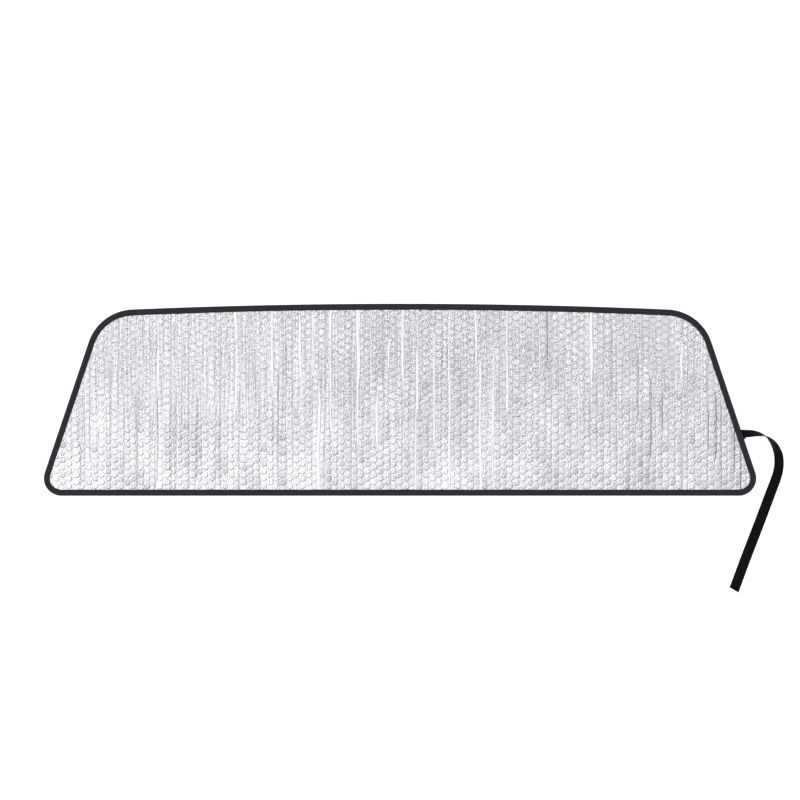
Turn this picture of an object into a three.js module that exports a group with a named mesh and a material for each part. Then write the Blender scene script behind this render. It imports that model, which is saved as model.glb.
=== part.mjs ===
// Rear window sunshade: a foil-faced bubble sheet, a folded tape sewn round its edge, and a closing strap.
// Millimetres, +Z up. It lies flat, front face up: +Y is its top edge and +X the side that carries the strap.
import * as THREE from "three";

// Outline, measured over the binding
const outlineWidth = 1380;
const outlineHeight = 372;
const sideLean = THREE.MathUtils.degToRad(18.6); // of each side edge, away from the Y axis
const topRise = 14; // of the bowed top edge over its two corners
const topCornerRadius = 93;
const bottomCornerRadius = 34;
const arcDivisions = 6; // three.js gives each arc of a path twice as many segments

// Foil-faced bubble sheet
const sheetThickness = 4.2; // from the back face to the film between the bubbles
const bubblePitch = 14.5; // between bubble centres, in columns that run along Y
const bubbleHeight = 1.0;
const foldHeight = 0.6; // of a crease where the bubbles are pressed into one low fold
const flangeThickness = 1.4; // where the binding squeezes the sheet flat
const rampRun = 3; // width of the slope from the squeezed edge to the full thickness
const reliefMargin = 1.5; // plain film between the slope and the first bubbles

// Binding tape, folded over the edge
const tapeThickness = 0.6;
const tapeReach = 12; // how far each leg covers the sheet
const edgeClearance = 0.3; // between the sheet and the tape, at the fold and at the legs' ends
const foldSteps = 6;

// Seam that holds the binding
const threadWidth = 0.5;
const threadHeight = 0.3;
const seamMargin = 2; // from the stitch line to the tape's inner edge

// Closing strap
const strapWidth = 20;
const strapThickness = 1.2;
const strapChamfer = 0.4; // of its woven selvages
const strapExitHeight = 118.5; // of the point where it leaves the side edge, over the bottom edge
const strapRootMargin = 0.8; // of the binding left free past the strap's sewn end
const strapEndSlant = THREE.MathUtils.degToRad(10); // of its cut end
const strapSteps = 72;

// Heights of the layers at the edge, from the surface that the sunshade lies on
const strapRootBottom = threadHeight;
const bindingBottom = strapRootBottom + strapThickness;
const flangeBottom = bindingBottom + tapeThickness;
const flangeTop = flangeBottom + flangeThickness;
const bindingTop = flangeTop + tapeThickness;
const foldRadius = (bindingTop - bindingBottom) / 2;
const rimInset = tapeReach + edgeClearance + rampRun;
const seamInset = tapeReach - seamMargin;

// Creases left by rolling the sheet up, as [x, lower end, upper end]: on a ridge the bubbles are pressed into
// one low fold, and in a groove they are pressed flat
const ridges = [
  [-465, -170, 150],
  [-316, -20, 185],
  [-249, 20, 185],
  [-165, -30, 185],
  [-80, -60, 185],
  [-25, 0, 185],
  [32, -185, 185],
  [97, -150, 185],
  [152, -150, 100],
  [208, 20, 185],
  [371, 50, 185],
  [546, 60, 165],
];
const grooves = [
  [-546, -20, 160],
  [-442, -115, 170],
  [-362, -185, 60],
  [-304, -185, 10],
  [-236, -185, 30],
  [-139, -185, 60],
  [285, 60, 185],
  [410, 0, 160],
  [489, -60, 60],
  [614, -110, 30],
];

// Materials
const foil = new THREE.MeshStandardMaterial({ color: 0xe3e3e7, roughness: 0.32, metalness: 1 });
const tape = new THREE.MeshStandardMaterial({ color: 0x313135, roughness: 0.85, metalness: 0 });
const webbing = new THREE.MeshStandardMaterial({ color: 0x161614, roughness: 0.8, metalness: 0 });
const thread = new THREE.MeshStandardMaterial({ color: 0x1c1c1f, roughness: 0.6, metalness: 0 });

// The right half of the outline: the left half mirrors it
const sideNormal = new THREE.Vector2(Math.cos(sideLean), Math.sin(sideLean));
const sideUp = new THREE.Vector2(-Math.sin(sideLean), Math.cos(sideLean));
const bottomY = -outlineHeight / 2;
const bottomTurn = Math.PI / 2 + sideLean;
const bottomTangent = bottomCornerRadius * Math.tan(bottomTurn / 2);
const bottomCornerX = outlineWidth / 2 - bottomCornerRadius + bottomTangent;
const bottomCentre = new THREE.Vector2(bottomCornerX - bottomTangent, bottomY + bottomCornerRadius);
const topCornerX = bottomCornerX - (outlineHeight - topRise) * Math.tan(sideLean);
const topRadius = (topCornerX ** 2 + topRise ** 2) / (2 * topRise);
const topCentreY = outlineHeight / 2 - topRadius;

// Centre of the arc that rounds a top corner, touching the side edge and the bowed top edge
function topCornerCentre() {
  const sideDistance = sideNormal.dot(new THREE.Vector2(bottomCornerX, bottomY));
  const onSide = sideNormal.clone().multiplyScalar(sideDistance - topCornerRadius);
  const toSide = onSide.clone().sub(new THREE.Vector2(0, topCentreY));
  const along = toSide.dot(sideUp);
  const reach = (topRadius - topCornerRadius) ** 2;
  const shift = -along + Math.sqrt(along ** 2 - toSide.lengthSq() + reach);
  return onSide.addScaledVector(sideUp, shift);
}

const topCentre = topCornerCentre();
const topAngle = Math.atan2(topCentre.y - topCentreY, topCentre.x);

// Points of the outline drawn in by an inset, anticlockwise, the same number for every inset
function outline(inset) {
  const top = topCornerRadius - inset;
  const bottom = bottomCornerRadius - inset;
  const path = new THREE.Path();
  path.absarc(bottomCentre.x, bottomCentre.y, bottom, -Math.PI / 2, sideLean);
  path.absarc(topCentre.x, topCentre.y, top, sideLean, topAngle);
  path.absarc(0, topCentreY, topRadius - inset, topAngle, Math.PI - topAngle);
  path.absarc(-topCentre.x, topCentre.y, top, Math.PI - topAngle, Math.PI - sideLean);
  path.absarc(-bottomCentre.x, bottomCentre.y, bottom, Math.PI - sideLean, 1.5 * Math.PI);
  const points = path.getPoints(arcDivisions);
  return points.filter((point, i) => point.distanceTo(points.at(i - 1)) > 0.001);
}

// A mesh under construction: points are shared, and faces list their corners anticlockwise from outside
class Surface {
  positions = [];
  faces = [];

  addPoint(x, y, z) {
    this.positions.push(x, y, z);
    return this.positions.length / 3 - 1;
  }

  addRing(points, z) {
    return points.map((point) => this.addPoint(point.x, point.y, z));
  }

  addQuad(a, b, c, d) {
    this.faces.push(a, b, c, a, c, d);
  }

  // The wall between two rings, with the first ring below or outside the second
  addWall(lower, upper) {
    lower.forEach((corner, i) => {
      const next = (i + 1) % lower.length;
      this.addQuad(corner, lower[next], upper[next], upper[i]);
    });
  }

  toMesh(name, material) {
    const geometry = new THREE.BufferGeometry();
    geometry.setAttribute("position", new THREE.Float32BufferAttribute(this.positions, 3));
    geometry.setIndex(this.faces);
    geometry.computeVertexNormals();
    const mesh = new THREE.Mesh(geometry, material);
    mesh.name = name;
    return mesh;
  }
}

// A profile of [inset, z] corners carried all the way round the outline, as a closed ring
function ringAround(profile, name, material) {
  const surface = new Surface();
  const rings = profile.map(([inset, z]) => surface.addRing(outline(inset), z));
  rings.forEach((ring, i) => surface.addWall(ring, rings[(i + 1) % rings.length]));
  return surface.toMesh(name, material);
}

// Bubble grid: columns of bubbles along Y, with each column half a pitch off its neighbours
const columnStep = bubblePitch * Math.sin(Math.PI / 3);
const rowStep = bubblePitch / 2;

function isInside(polygon, x, y) {
  return polygon.every((corner, i) => {
    const next = polygon[(i + 1) % polygon.length];
    return (next.x - corner.x) * (y - corner.y) - (next.y - corner.y) * (x - corner.x) > 0;
  });
}

function isOnCrease(creases, column, y) {
  return creases.some(([x, low, high]) => Math.round(x / columnStep) === column && y > low && y < high);
}

// Height of the film at a grid point: bubble centres and the film between them take turns along each column
function filmHeight(column, row) {
  const y = row * rowStep;
  if (isOnCrease(ridges, column, y)) return sheetThickness + foldHeight;
  if (isOnCrease(grooves, column, y)) return sheetThickness;
  const isCentre = (column + row) % 2 === 0;
  return isCentre ? sheetThickness + bubbleHeight : sheetThickness;
}

// Grid cells that lie wholly inside the sloped rim, as [column, row] of their lower left corner
function reliefCells() {
  const field = outline(rimInset + reliefMargin);
  const lastColumn = Math.ceil(outlineWidth / 2 / columnStep);
  const lastRow = Math.ceil(outlineHeight / 2 / rowStep);
  const cells = [];
  for (let column = -lastColumn; column < lastColumn; column += 1) {
    for (let row = -lastRow; row < lastRow; row += 1) {
      const corners = [[0, 0], [1, 0], [1, 1], [0, 1]];
      const fits = corners.every(([i, j]) =>
        isInside(field, (column + i) * columnStep, (row + j) * rowStep));
      if (fits) cells.push([column, row]);
    }
  }
  return cells;
}

// The edges that only one of the faces uses, chained into one loop
function borderLoop(faces) {
  const next = new Map();
  const used = new Set();
  const edges = [];
  for (let i = 0; i < faces.length; i += 3) {
    for (let k = 0; k < 3; k += 1) {
      const edge = [faces[i + k], faces[i + ((k + 1) % 3)]];
      edges.push(edge);
      used.add(edge.join());
    }
  }
  edges.filter(([from, to]) => !used.has([to, from].join())).forEach(([from, to]) => next.set(from, to));
  const start = next.keys().next().value;
  const loop = [start];
  for (let at = next.get(start); at !== start; at = next.get(at)) loop.push(at);
  return loop;
}

// The bubble relief, as four-sided pyramids that share the film between them; returns its border
function addRelief(surface) {
  const placed = new Map();
  const pointAt = (column, row) => {
    const key = `${column},${row}`;
    if (!placed.has(key)) {
      const z = filmHeight(column, row);
      placed.set(key, surface.addPoint(column * columnStep, row * rowStep, z));
    }
    return placed.get(key);
  };
  const faces = [];
  reliefCells().forEach(([column, row]) => {
    const a = pointAt(column, row);
    const b = pointAt(column + 1, row);
    const c = pointAt(column + 1, row + 1);
    const d = pointAt(column, row + 1);
    const startsOnCentre = (column + row) % 2 === 0;
    faces.push(...(startsOnCentre ? [a, b, d, b, c, d] : [a, b, c, a, c, d]));
  });
  faces.forEach((corner) => surface.faces.push(corner));
  const border = borderLoop(faces);
  border.forEach((corner) => {
    surface.positions[3 * corner + 2] = sheetThickness;
  });
  return border;
}

function buildSheet() {
  const surface = new Surface();
  const levels = [
    [rimInset, 0],
    [rimInset - rampRun, flangeBottom],
    [foldRadius + edgeClearance, flangeBottom],
    [foldRadius + edgeClearance, flangeTop],
    [rimInset - rampRun, flangeTop],
    [rimInset, sheetThickness],
  ];
  const rings = levels.map(([inset, z]) => surface.addRing(outline(inset), z));
  rings.slice(1).forEach((ring, i) => surface.addWall(rings[i], ring));

  const rimPoints = outline(rimInset);
  THREE.ShapeUtils.triangulateShape(rimPoints, []).forEach(([a, b, c]) => {
    surface.faces.push(rings[0][a], rings[0][c], rings[0][b]);
  });

  const border = addRelief(surface);
  const borderPoints = border.map((corner) =>
    new THREE.Vector2(surface.positions[3 * corner], surface.positions[3 * corner + 1]));
  const corners = [...rings.at(-1), ...border];
  THREE.ShapeUtils.triangulateShape(rimPoints, [borderPoints]).forEach(([a, b, c]) => {
    surface.faces.push(corners[a], corners[b], corners[c]);
  });
  return surface.toMesh("foil_panel", foil);
}

// U-shaped section of the folded tape: round outside, and round inside where it turns the edge
function foldArc(radius) {
  const middle = (bindingTop + bindingBottom) / 2;
  return Array.from({ length: foldSteps + 1 }, (_, i) => {
    const angle = (i / foldSteps) * Math.PI;
    return [foldRadius - radius * Math.sin(angle), middle - radius * Math.cos(angle)];
  });
}

function buildBinding() {
  const outside = [[tapeReach, bindingBottom], ...foldArc(foldRadius), [tapeReach, bindingTop]];
  const inside = [[tapeReach, flangeBottom], ...foldArc(foldRadius - tapeThickness), [tapeReach, flangeTop]];
  return ringAround([...outside, ...inside.reverse()], "edge_binding", tape);
}

function threadSection(bottom) {
  const outer = seamInset - threadWidth / 2;
  const inner = seamInset + threadWidth / 2;
  return [[inner, bottom], [outer, bottom], [outer, bottom + threadHeight], [inner, bottom + threadHeight]];
}

function buildNeedleThread() {
  return ringAround(threadSection(bindingTop), "seam_needle_thread", thread);
}

// The strap leaves the right side edge at this point
const strapExit = new THREE.Vector2(
  bottomCornerX - strapExitHeight * Math.tan(sideLean),
  bottomY + strapExitHeight,
);

// The under-seam thread: it follows the binding, and steps down to pass under the sewn end of the strap
function buildBobbinThread() {
  const surface = new Surface();
  const seam = outline(seamInset);
  const section = threadSection(bindingBottom - threadHeight);
  const halfGap = strapWidth / 2 + edgeClearance;
  const seamPoint = strapExit.clone().addScaledVector(sideNormal, -seamInset);

  // Stations along the seam, from above the strap round the sunshade to below it: [point, outward way, drop]
  const stations = [];
  const onSide = (offset, drop) => {
    stations.push([seamPoint.clone().addScaledVector(sideUp, offset), sideNormal, drop]);
  };
  const outer = outline(0);
  const firstOnSide = seam.findIndex((point) => point.y > seamPoint.y);
  onSide(halfGap + threadWidth, 0);
  for (let i = 0; i < seam.length; i += 1) {
    const at = (firstOnSide + i) % seam.length;
    stations.push([seam[at], outer[at].clone().sub(seam[at]).divideScalar(seamInset), 0]);
  }
  onSide(-halfGap - threadWidth, 0);
  onSide(-halfGap, -strapThickness);
  onSide(halfGap, -strapThickness);

  const rings = section.map(([inset, z]) =>
    stations.map(([point, out, drop]) => {
      const shifted = point.clone().addScaledVector(out, seamInset - inset);
      return surface.addPoint(shifted.x, shifted.y, z + drop);
    }));
  rings.forEach((ring, i) => surface.addWall(ring, rings[(i + 1) % rings.length]));
  return surface.toMesh("seam_bobbin_thread", thread);
}

// The strap's route past its exit, as [x, y, turn of its width in degrees]: it stands up on its lower edge,
// rolls over as it bends round, and ends lying flat with its other face up
const strapRoute = [
  [0, 0, 0],
  [2.5, 0.7, 12],
  [5.5, 1.3, 28],
  [9, 1.8, 40],
  [13, 2.1, 47],
  [18, 2, 53],
  [24.6, 1.4, 61],
  [30.5, 0.4, 69],
  [36.2, -1.2, 79],
  [42.1, -3.6, 90],
  [48.6, -7.8, 101],
  [55, -13.2, 112],
  [62.6, -20.7, 125],
  [67.6, -29.5, 137],
  [70.9, -40.3, 148],
  [72.1, -51.7, 156],
  [71.7, -62, 162],
  [69.2, -74.6, 168],
  [64.1, -90.5, 174],
  [57.2, -109, 178],
  [49.8, -128, 180],
  [34.9, -166.7, 180],
  [19.8, -205.4, 180],
  [5.2, -244.2, 180],
  [-16.1, -301.2, 180],
];

// Centre and directions of the strap at each station along it. The turn travels through the curve as its third
// coordinate, and the lowest edge of the strap gives each station its height
function strapStations() {
  const sewnLength = tapeReach - strapRootMargin;
  const root = [sewnLength, sewnLength / 2].map((back) =>
    new THREE.Vector3(-back * sideNormal.x, -back * sideNormal.y, 0));
  const free = strapRoute.map(([x, y, turn]) => new THREE.Vector3(x, y, THREE.MathUtils.degToRad(turn)));
  const route = new THREE.CatmullRomCurve3([...root, ...free], false, "catmullrom", 0.5);
  const samples = route.getPoints(strapSteps);
  return samples.map((sample, i) => {
    const before = samples[Math.max(i - 1, 0)];
    const after = samples[Math.min(i + 1, strapSteps)];
    const heading = new THREE.Vector3(after.x - before.x, after.y - before.y, 0).normalize();
    const turn = THREE.MathUtils.clamp(sample.z, 0, Math.PI);
    const across = new THREE.Vector3(-heading.y, heading.x, 0).multiplyScalar(Math.cos(turn));
    across.z = Math.sin(turn);
    const face = new THREE.Vector3().crossVectors(heading, across);
    const lift = (strapWidth * Math.sin(turn) + strapThickness * Math.abs(Math.cos(turn))) / 2;
    const seamLift = strapRootBottom * Math.max(Math.cos(turn), 0);
    const centre = new THREE.Vector3(strapExit.x + sample.x, strapExit.y + sample.y, lift + seamLift);
    return { centre, heading, across, face };
  });
}

function buildStrap() {
  const surface = new Surface();
  const half = strapWidth / 2;
  const flat = half - strapChamfer;
  const thick = strapThickness / 2;
  const section = [[half, 0], [flat, thick], [-flat, thick], [-half, 0], [-flat, -thick], [flat, -thick]];
  const rings = strapStations().map(({ centre, heading, across, face }, i) => {
    const slant = i === strapSteps ? Math.tan(strapEndSlant) : 0;
    return section.map(([wide, up]) => {
      const point = centre.clone().addScaledVector(across, wide).addScaledVector(face, up);
      point.addScaledVector(heading, -wide * slant);
      return surface.addPoint(point.x, point.y, point.z);
    });
  });
  rings.slice(1).forEach((ring, i) => surface.addWall(rings[i], ring));
  const cap = [[0, 1, 5], [1, 2, 5], [2, 4, 5], [2, 3, 4]];
  const last = rings.at(-1);
  cap.forEach(([a, b, c]) => {
    surface.faces.push(rings[0][a], rings[0][c], rings[0][b]);
    surface.faces.push(last[a], last[b], last[c]);
  });
  return surface.toMesh("closure_strap", webbing);
}

const sunshade = new THREE.Group();
sunshade.add(buildSheet(), buildBinding(), buildNeedleThread(), buildBobbinThread(), buildStrap());

export default sunshade;
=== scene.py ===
import math

import bpy
import numpy as np
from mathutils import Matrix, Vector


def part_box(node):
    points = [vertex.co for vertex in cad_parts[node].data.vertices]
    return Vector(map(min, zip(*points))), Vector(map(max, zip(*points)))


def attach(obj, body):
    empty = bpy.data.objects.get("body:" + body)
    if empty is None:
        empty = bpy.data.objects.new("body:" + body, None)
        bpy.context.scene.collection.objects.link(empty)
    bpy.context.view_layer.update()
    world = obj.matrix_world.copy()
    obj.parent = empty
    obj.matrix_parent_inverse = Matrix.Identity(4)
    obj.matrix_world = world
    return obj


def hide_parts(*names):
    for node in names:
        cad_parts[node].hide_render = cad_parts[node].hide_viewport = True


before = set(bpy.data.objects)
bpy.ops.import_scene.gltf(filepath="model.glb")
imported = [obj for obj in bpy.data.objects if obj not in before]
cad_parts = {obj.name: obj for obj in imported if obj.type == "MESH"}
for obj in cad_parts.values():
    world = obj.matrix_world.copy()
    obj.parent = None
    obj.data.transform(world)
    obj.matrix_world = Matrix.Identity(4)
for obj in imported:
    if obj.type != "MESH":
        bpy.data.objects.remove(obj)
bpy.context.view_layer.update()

# Rear window sunshade: foil bubble sheet, folded edge tape and its seam, closing strap.
# Everything is in metres; the panel lies flat on z = 0 with its foil face up and its bowed edge at +Y.
tapeLow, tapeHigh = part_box("edge_binding")
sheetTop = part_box("foil_panel")[1][2]
halfWidth = (tapeHigh[0] - tapeLow[0]) / 2
halfHeight = (tapeHigh[1] - tapeLow[1]) / 2
mm = 0.001
print("frame loaded:", sorted(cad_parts))

# Camera, straight above
camera = {
    "lens": 85,
    "sensor": 36,
    "seenWidth": 1.5507,    # what the frame spans at the panel
    "middle": (0, -0.00055),
    "farthest": 50,
}


def placeCamera():
    data = bpy.data.cameras.new("camera")
    data.lens = camera["lens"]
    data.sensor_width = camera["sensor"]
    data.clip_end = camera["farthest"]
    eye = bpy.data.objects.new("camera", data)
    eye.location = (*camera["middle"], camera["seenWidth"] * camera["lens"] / camera["sensor"])
    bpy.context.scene.collection.objects.link(eye)
    bpy.context.scene.camera = eye


placeCamera()

# The panel's outline, measured over the tape
outline = {
    "sideLean": math.radians(18.6),
    "bowRise": 14 * mm,
    "topCorner": 93 * mm,
    "bottomCorner": 34 * mm,
}
lean = outline["sideLean"]
sideOut = np.array([math.cos(lean), math.sin(lean)])
sideUp = np.array([-math.sin(lean), math.cos(lean)])
lowTangent = outline["bottomCorner"] * math.tan((math.pi / 2 + lean) / 2)
lowCentre = np.array([halfWidth, -halfHeight]) + outline["bottomCorner"] * np.array([-1, 1])
sharpLowX = lowCentre[0] + lowTangent
sharpTopX = sharpLowX - (2 * halfHeight - outline["bowRise"]) * math.tan(lean)
bowRadius = (sharpTopX ** 2 + outline["bowRise"] ** 2) / (2 * outline["bowRise"])
bowCentre = np.array([0, halfHeight - bowRadius])
sideReach = sideOut @ np.array([sharpLowX, -halfHeight])


def findTopCentre():
    # the top corner's arc touches the straight side and the bow
    onSide = sideOut * (sideReach - outline["topCorner"])
    fromBow = onSide - bowCentre
    along = fromBow @ sideUp
    reach = (bowRadius - outline["topCorner"]) ** 2
    return onSide + sideUp * (-along + math.sqrt(along ** 2 - fromBow @ fromBow + reach))


topCentre = findTopCentre()
bowAngle = math.atan2(topCentre[1] - bowCentre[1], topCentre[0])
cornerArcs = [
    (lowCentre, outline["bottomCorner"], -math.pi / 2, lean),
    (topCentre, outline["topCorner"], lean, bowAngle),
]


def traceEdge(stepsPerArc=400):
    # points and outward normals of the outer edge, anticlockwise from the bottom middle
    points = [[0, -halfHeight]]
    outs = [[0, -1]]
    for centre, radius, start, end in [*cornerArcs, (bowCentre, bowRadius, bowAngle, math.pi / 2)]:
        for angle in np.linspace(start, end, stepsPerArc):
            out = np.array([math.cos(angle), math.sin(angle)])
            points.append(centre + radius * out)
            outs.append(out)
    mirror = np.array([-1, 1])
    points = np.vstack([points, np.array(points)[-2::-1] * mirror])
    outs = np.vstack([outs, np.array(outs)[-2::-1] * mirror])
    return points, outs


edgePoints, edgeOuts = traceEdge()
edgeRuns = np.concatenate([[0], np.cumsum(np.linalg.norm(np.diff(edgePoints, axis=0), axis=1))])
edgeLength = edgeRuns[-1]


def edgeAt(run, inset=0.0):
    # place and outward way at a run along the outer edge, drawn in by an inset
    run = np.mod(run, edgeLength)
    place = np.stack([np.interp(run, edgeRuns, edgePoints[:, k]) for k in range(2)], -1)
    out = np.stack([np.interp(run, edgeRuns, edgeOuts[:, k]) for k in range(2)], -1)
    out /= np.linalg.norm(out, axis=-1, keepdims=True)
    return place - out * np.asarray(inset)[..., None], out


def insetOf(flat):
    # how far inside the outer edge each point is, and the way out from it
    x, y = np.abs(flat[:, 0]), flat[:, 1]
    toBow = np.stack([x, y - bowCentre[1]], -1)
    bowDistance = np.linalg.norm(toBow, axis=1)
    fromSide = sideReach - sideOut[0] * x - sideOut[1] * y
    insets = np.stack([fromSide, y + halfHeight, bowRadius - bowDistance])
    outs = np.stack([
        np.broadcast_to(sideOut, toBow.shape),
        np.broadcast_to([0.0, -1.0], toBow.shape),
        toBow / bowDistance[:, None],
    ])
    nearest = insets.argmin(0)
    inset = insets.min(0)
    out = outs[nearest, np.arange(len(x))].copy()
    for centre, radius, start, end in cornerArcs:
        away = np.stack([x, y], -1) - centre
        angle = np.arctan2(away[:, 1], away[:, 0])
        inCorner = (angle > start) & (angle < end)
        distance = np.linalg.norm(away[inCorner], axis=1)
        inset[inCorner] = radius - distance
        out[inCorner] = away[inCorner] / distance[:, None]
    out[:, 0] *= np.where(flat[:, 0] < 0, -1, 1)
    return inset, out


def smoothStep(low, high, value):
    share = np.clip((value - low) / (high - low), 0, 1)
    return share * share * (3 - 2 * share)


def ripple(x, y, waveX, waveY, seed, count=6):
    # smooth noise of about unit size: a few sine waves with seeded ways and phases
    draw = np.random.default_rng(seed)
    total = np.zeros(np.broadcast(x, y).shape)
    for _ in range(count):
        kx, ky = draw.uniform(0.5, 1.5, 2) * draw.choice([-1, 1], 2)
        total += np.sin(2 * math.pi * (kx * x / waveX + ky * y / waveY) + draw.uniform(0, 2 * math.pi))
    return total / math.sqrt(count / 2)


def addMesh(name, points, faces, attributes=None):
    data = bpy.data.meshes.new(name)
    data.from_pydata(np.asarray(points).tolist(), [], [list(face) for face in faces])
    data.validate()
    data.shade_smooth()
    for label, values in (attributes or {}).items():
        domain = "POINT" if len(values) == len(points) else "CORNER"
        layer = data.attributes.new(label, "FLOAT_VECTOR", domain)
        layer.data.foreach_set("vector", np.asarray(values, np.float32).ravel())
    piece = bpy.data.objects.new(name, data)
    bpy.context.scene.collection.objects.link(piece)
    return piece


def ringFaces(rows, columns, closedRows=False):
    # four-sided faces between rows of a grid whose columns close on themselves
    row = np.arange(rows if closedRows else rows - 1)[:, None]
    column = np.arange(columns)[None, :]
    nextRow = (row + 1) % rows
    nextColumn = (column + 1) % columns
    corners = [row * columns + column, nextRow * columns + column,
               nextRow * columns + nextColumn, row * columns + nextColumn]
    return np.stack([np.broadcast_to(c, (len(row), columns)) for c in corners], -1).reshape(-1, 4)


# Node helpers for the materials
noiseSwing = (0.3, 0.7)         # most of a noise field lies between these


def newMaterial(name):
    made = bpy.data.materials.new(name)
    made.use_nodes = True
    return made.node_tree, made.node_tree.nodes["Principled BSDF"], made


def addNode(tree, kind, inputs=None, **settings):
    node = tree.nodes.new(kind)
    for key, value in settings.items():
        setattr(node, key, value)
    for key, value in (inputs or {}).items():
        if isinstance(value, bpy.types.NodeSocket):
            tree.links.new(value, node.inputs[key])
        else:
            node.inputs[key].default_value = value
    return node


def vectorOf(tree, operation, first, second=None, scale=None):
    # a value for a length or a dot product, and a vector for the rest
    given = {0: first, 1: second, "Scale": scale}
    inputs = {key: value for key, value in given.items() if value is not None}
    node = addNode(tree, "ShaderNodeVectorMath", inputs, operation=operation)
    return node.outputs["Value" if operation in ("LENGTH", "DOT_PRODUCT") else "Vector"]


def noiseAt(tree, coordinates, stretch, scale, detail):
    inputs = {"Vector": vectorOf(tree, "MULTIPLY", coordinates, stretch), "Scale": scale, "Detail": detail}
    return addNode(tree, "ShaderNodeTexNoise", inputs)


def mathOf(tree, operation, first, second):
    return addNode(tree, "ShaderNodeMath", {0: first, 1: second}, operation=operation).outputs[0]


def mapped(tree, value, fromLow, fromHigh, toLow, toHigh):
    inputs = {"Value": value, "From Min": fromLow, "From Max": fromHigh, "To Min": toLow, "To Max": toHigh}
    return addNode(tree, "ShaderNodeMapRange", inputs).outputs[0]


def mixedColour(tree, share, first, second):
    mix = addNode(tree, "ShaderNodeMix", data_type="RGBA")
    tree.links.new(share, mix.inputs[0])
    mix.inputs[6].default_value = (*first, 1)
    mix.inputs[7].default_value = (*second, 1)
    return mix.outputs[2]


# Foil bubble sheet
bubbles = {
    "pitch": 14.5 * mm,          # between bubbles down a column
    "height": 1.0 * mm,
    "radiusY": 6.2 * mm,
    "topShare": 0.86,            # how far out the flat top reaches towards the fold line beside it
    "topLevel": 0.97,            # its height, as a share of the bubble's
    "footShare": 0.985,          # the same two for the foot
    "footLevel": 0.1,
    "corners": 8,                # of the outlines of both
    "dent": 0.08,                # unevenness of the tops, as a share of the height
    "shift": 0.25 * mm,
    "tilt": 0.028,               # of whole bubbles, at random
    "swell": 0.012,              # of whole patches of film
    "wave": 0.12 * mm,
    "filmUneven": 0.05 * mm,     # of the film between two bubbles of a column
    "columnTilt": (0.034, 0.009),  # of whole columns, at the left and at the right
    "columnTiltEnds": (-0.4, 0.4),
    # where they are crushed: [x, height at which it starts, how much of their height goes], in metres
    "crushed": [
        (-0.65, -0.08, 0.75), (-0.2, -0.06, 0.75), (-0.08, -0.02, 0.4), (0.1, 0.0, 0.35), (0.65, 0.0, 0.3),
    ],
    "crushFade": 110 * mm,
    "crushUneven": 20 * mm,
    "fullSpread": 0.16,          # how far the painted shade on the tops differs from bubble to bubble
    "fullRange": (0.5, 1.3),
    "besideBand": 0.35,          # how much of it goes beside a bright band
    "topShadeSpread": 0.3,          # how far the scuffs differ from bubble to bubble
    "topShadePatches": 0.4,         # and from patch to patch
}
backBubbles = {
    "height": 0.5 * mm,
    "topShare": 0.72,
    "radiusY": 4.6 * mm,
    "corners": 6,
    "foldShare": 0.3,            # how strongly the folds show there
}
rim = {
    "clip": 11.0 * mm,           # the bubble field ends here, under the tape
    "slope": (12.3 * mm, 15.3 * mm),
    "edge": 1.6 * mm,
    "bottom": 2.1 * mm,
    "top": 3.5 * mm,
}
seam = {
    "halfWidth": 0.2 * mm,       # of the fold line between two columns of bubbles
    "foldWidth": 0.8 * mm,       # what a fold adds to it
    "foldWidest": 1.2,           # strength from which it grows no wider
    "foldSteepest": 1.3,         # and no steeper
    "foldStep": 0.4 * mm,
    "foldTilt": 0.38,
    "foldSides": 0.6,            # share of a fold's slope and painted shade at its sides
    "foldSway": 0.15 * mm,
    "dashed": 0.5,               # how far a fold fades where no bubble leans on it
    "bandWidth": 3.1 * mm,       # what a bright flat band adds
    "bandRise": 0.9 * mm,
    "bandUneven": 0.2,           # share of the rise that comes and goes
    "bandCrest": 0.45,           # how far right of its middle the crest lies, as a share of half its width
    "bandTilts": (-0.07, -0.1, 0.4),  # at its left, its crest and its right
    "bandSway": 0.9 * mm,
    "unevenness": 0.06 * mm,
    "paintedFoldShade": 2.8,            # painted shade on each, as a share of the dull colour, where the top of a bubble is 1
    # painted highlight on each bright band: it takes dull colour away there
    "paintedBandHighlight": -0.3,
    "room": 4.6 * mm,            # how far from the fold line the sides may reach
    "fade": 36 * mm,             # over which a band or fold comes and goes at its ends
}
# bright flat bands, as [x, low end, high end, strength], all in millimetres but the last
brightBands = [
    (-465, -170, 150, 0.6), (-316, -20, 185, 0.9), (-249, 20, 185, 0.8), (-192, -20, 154, 1.0),
    (-165, 60, 185, 1.2), (-157, -175, 18, 0.9), (-135, -60, 185, 0.8), (-79.5, 35, 190, 1.2),
    (-82, -88, 35, 0.5), (-44, -90, 10, 0.8), (-25, -20, 116, 1.0), (5, 40, 190, 0.8),
    (35, -30, 190, 0.75), (29, -190, -25, 0.55), (64, -98, 135, 0.6), (97, -190, 190, 0.6),
    (148, 60, 190, 0.65), (155, -190, 75, 0.7), (178, -175, 106, 0.5), (208, -20, 190, 0.7),
    (371, 50, 190, 1.0), (546, 20, 115, 0.8), (546, -180, -60, 0.4),
]
# dark fold lines, in the same way
darkFolds = [
    (-618, -175, -80, 1.0), (-601, -120, 80, 1.0), (-546, -20, 165, 1.0), (-534, -185, 0, 0.7),
    (-509, -185, 10, 1.1), (-477, -185, 5, 1.6), (-442, -185, 185, 0.8), (-423, -60, 120, 0.6),
    (-391, -155, 10, 1.0), (-357, -185, 185, 0.5), (-313, -175, 15, 1.7), (-236, -185, 60, 1.0),
    (285, 65, 185, 1.9), (410, 0, 160, 0.9), (461, -40, 100, 1.2), (486, -110, 40, 2.0),
    (508, -60, 20, 1.6), (597, -95, -15, 1.6), (612, -115, 15, 2.5), (622, -175, 0, 1.1),
    (648, -140, -50, 2.0), (660, -185, -100, 2.8),
]
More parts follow.
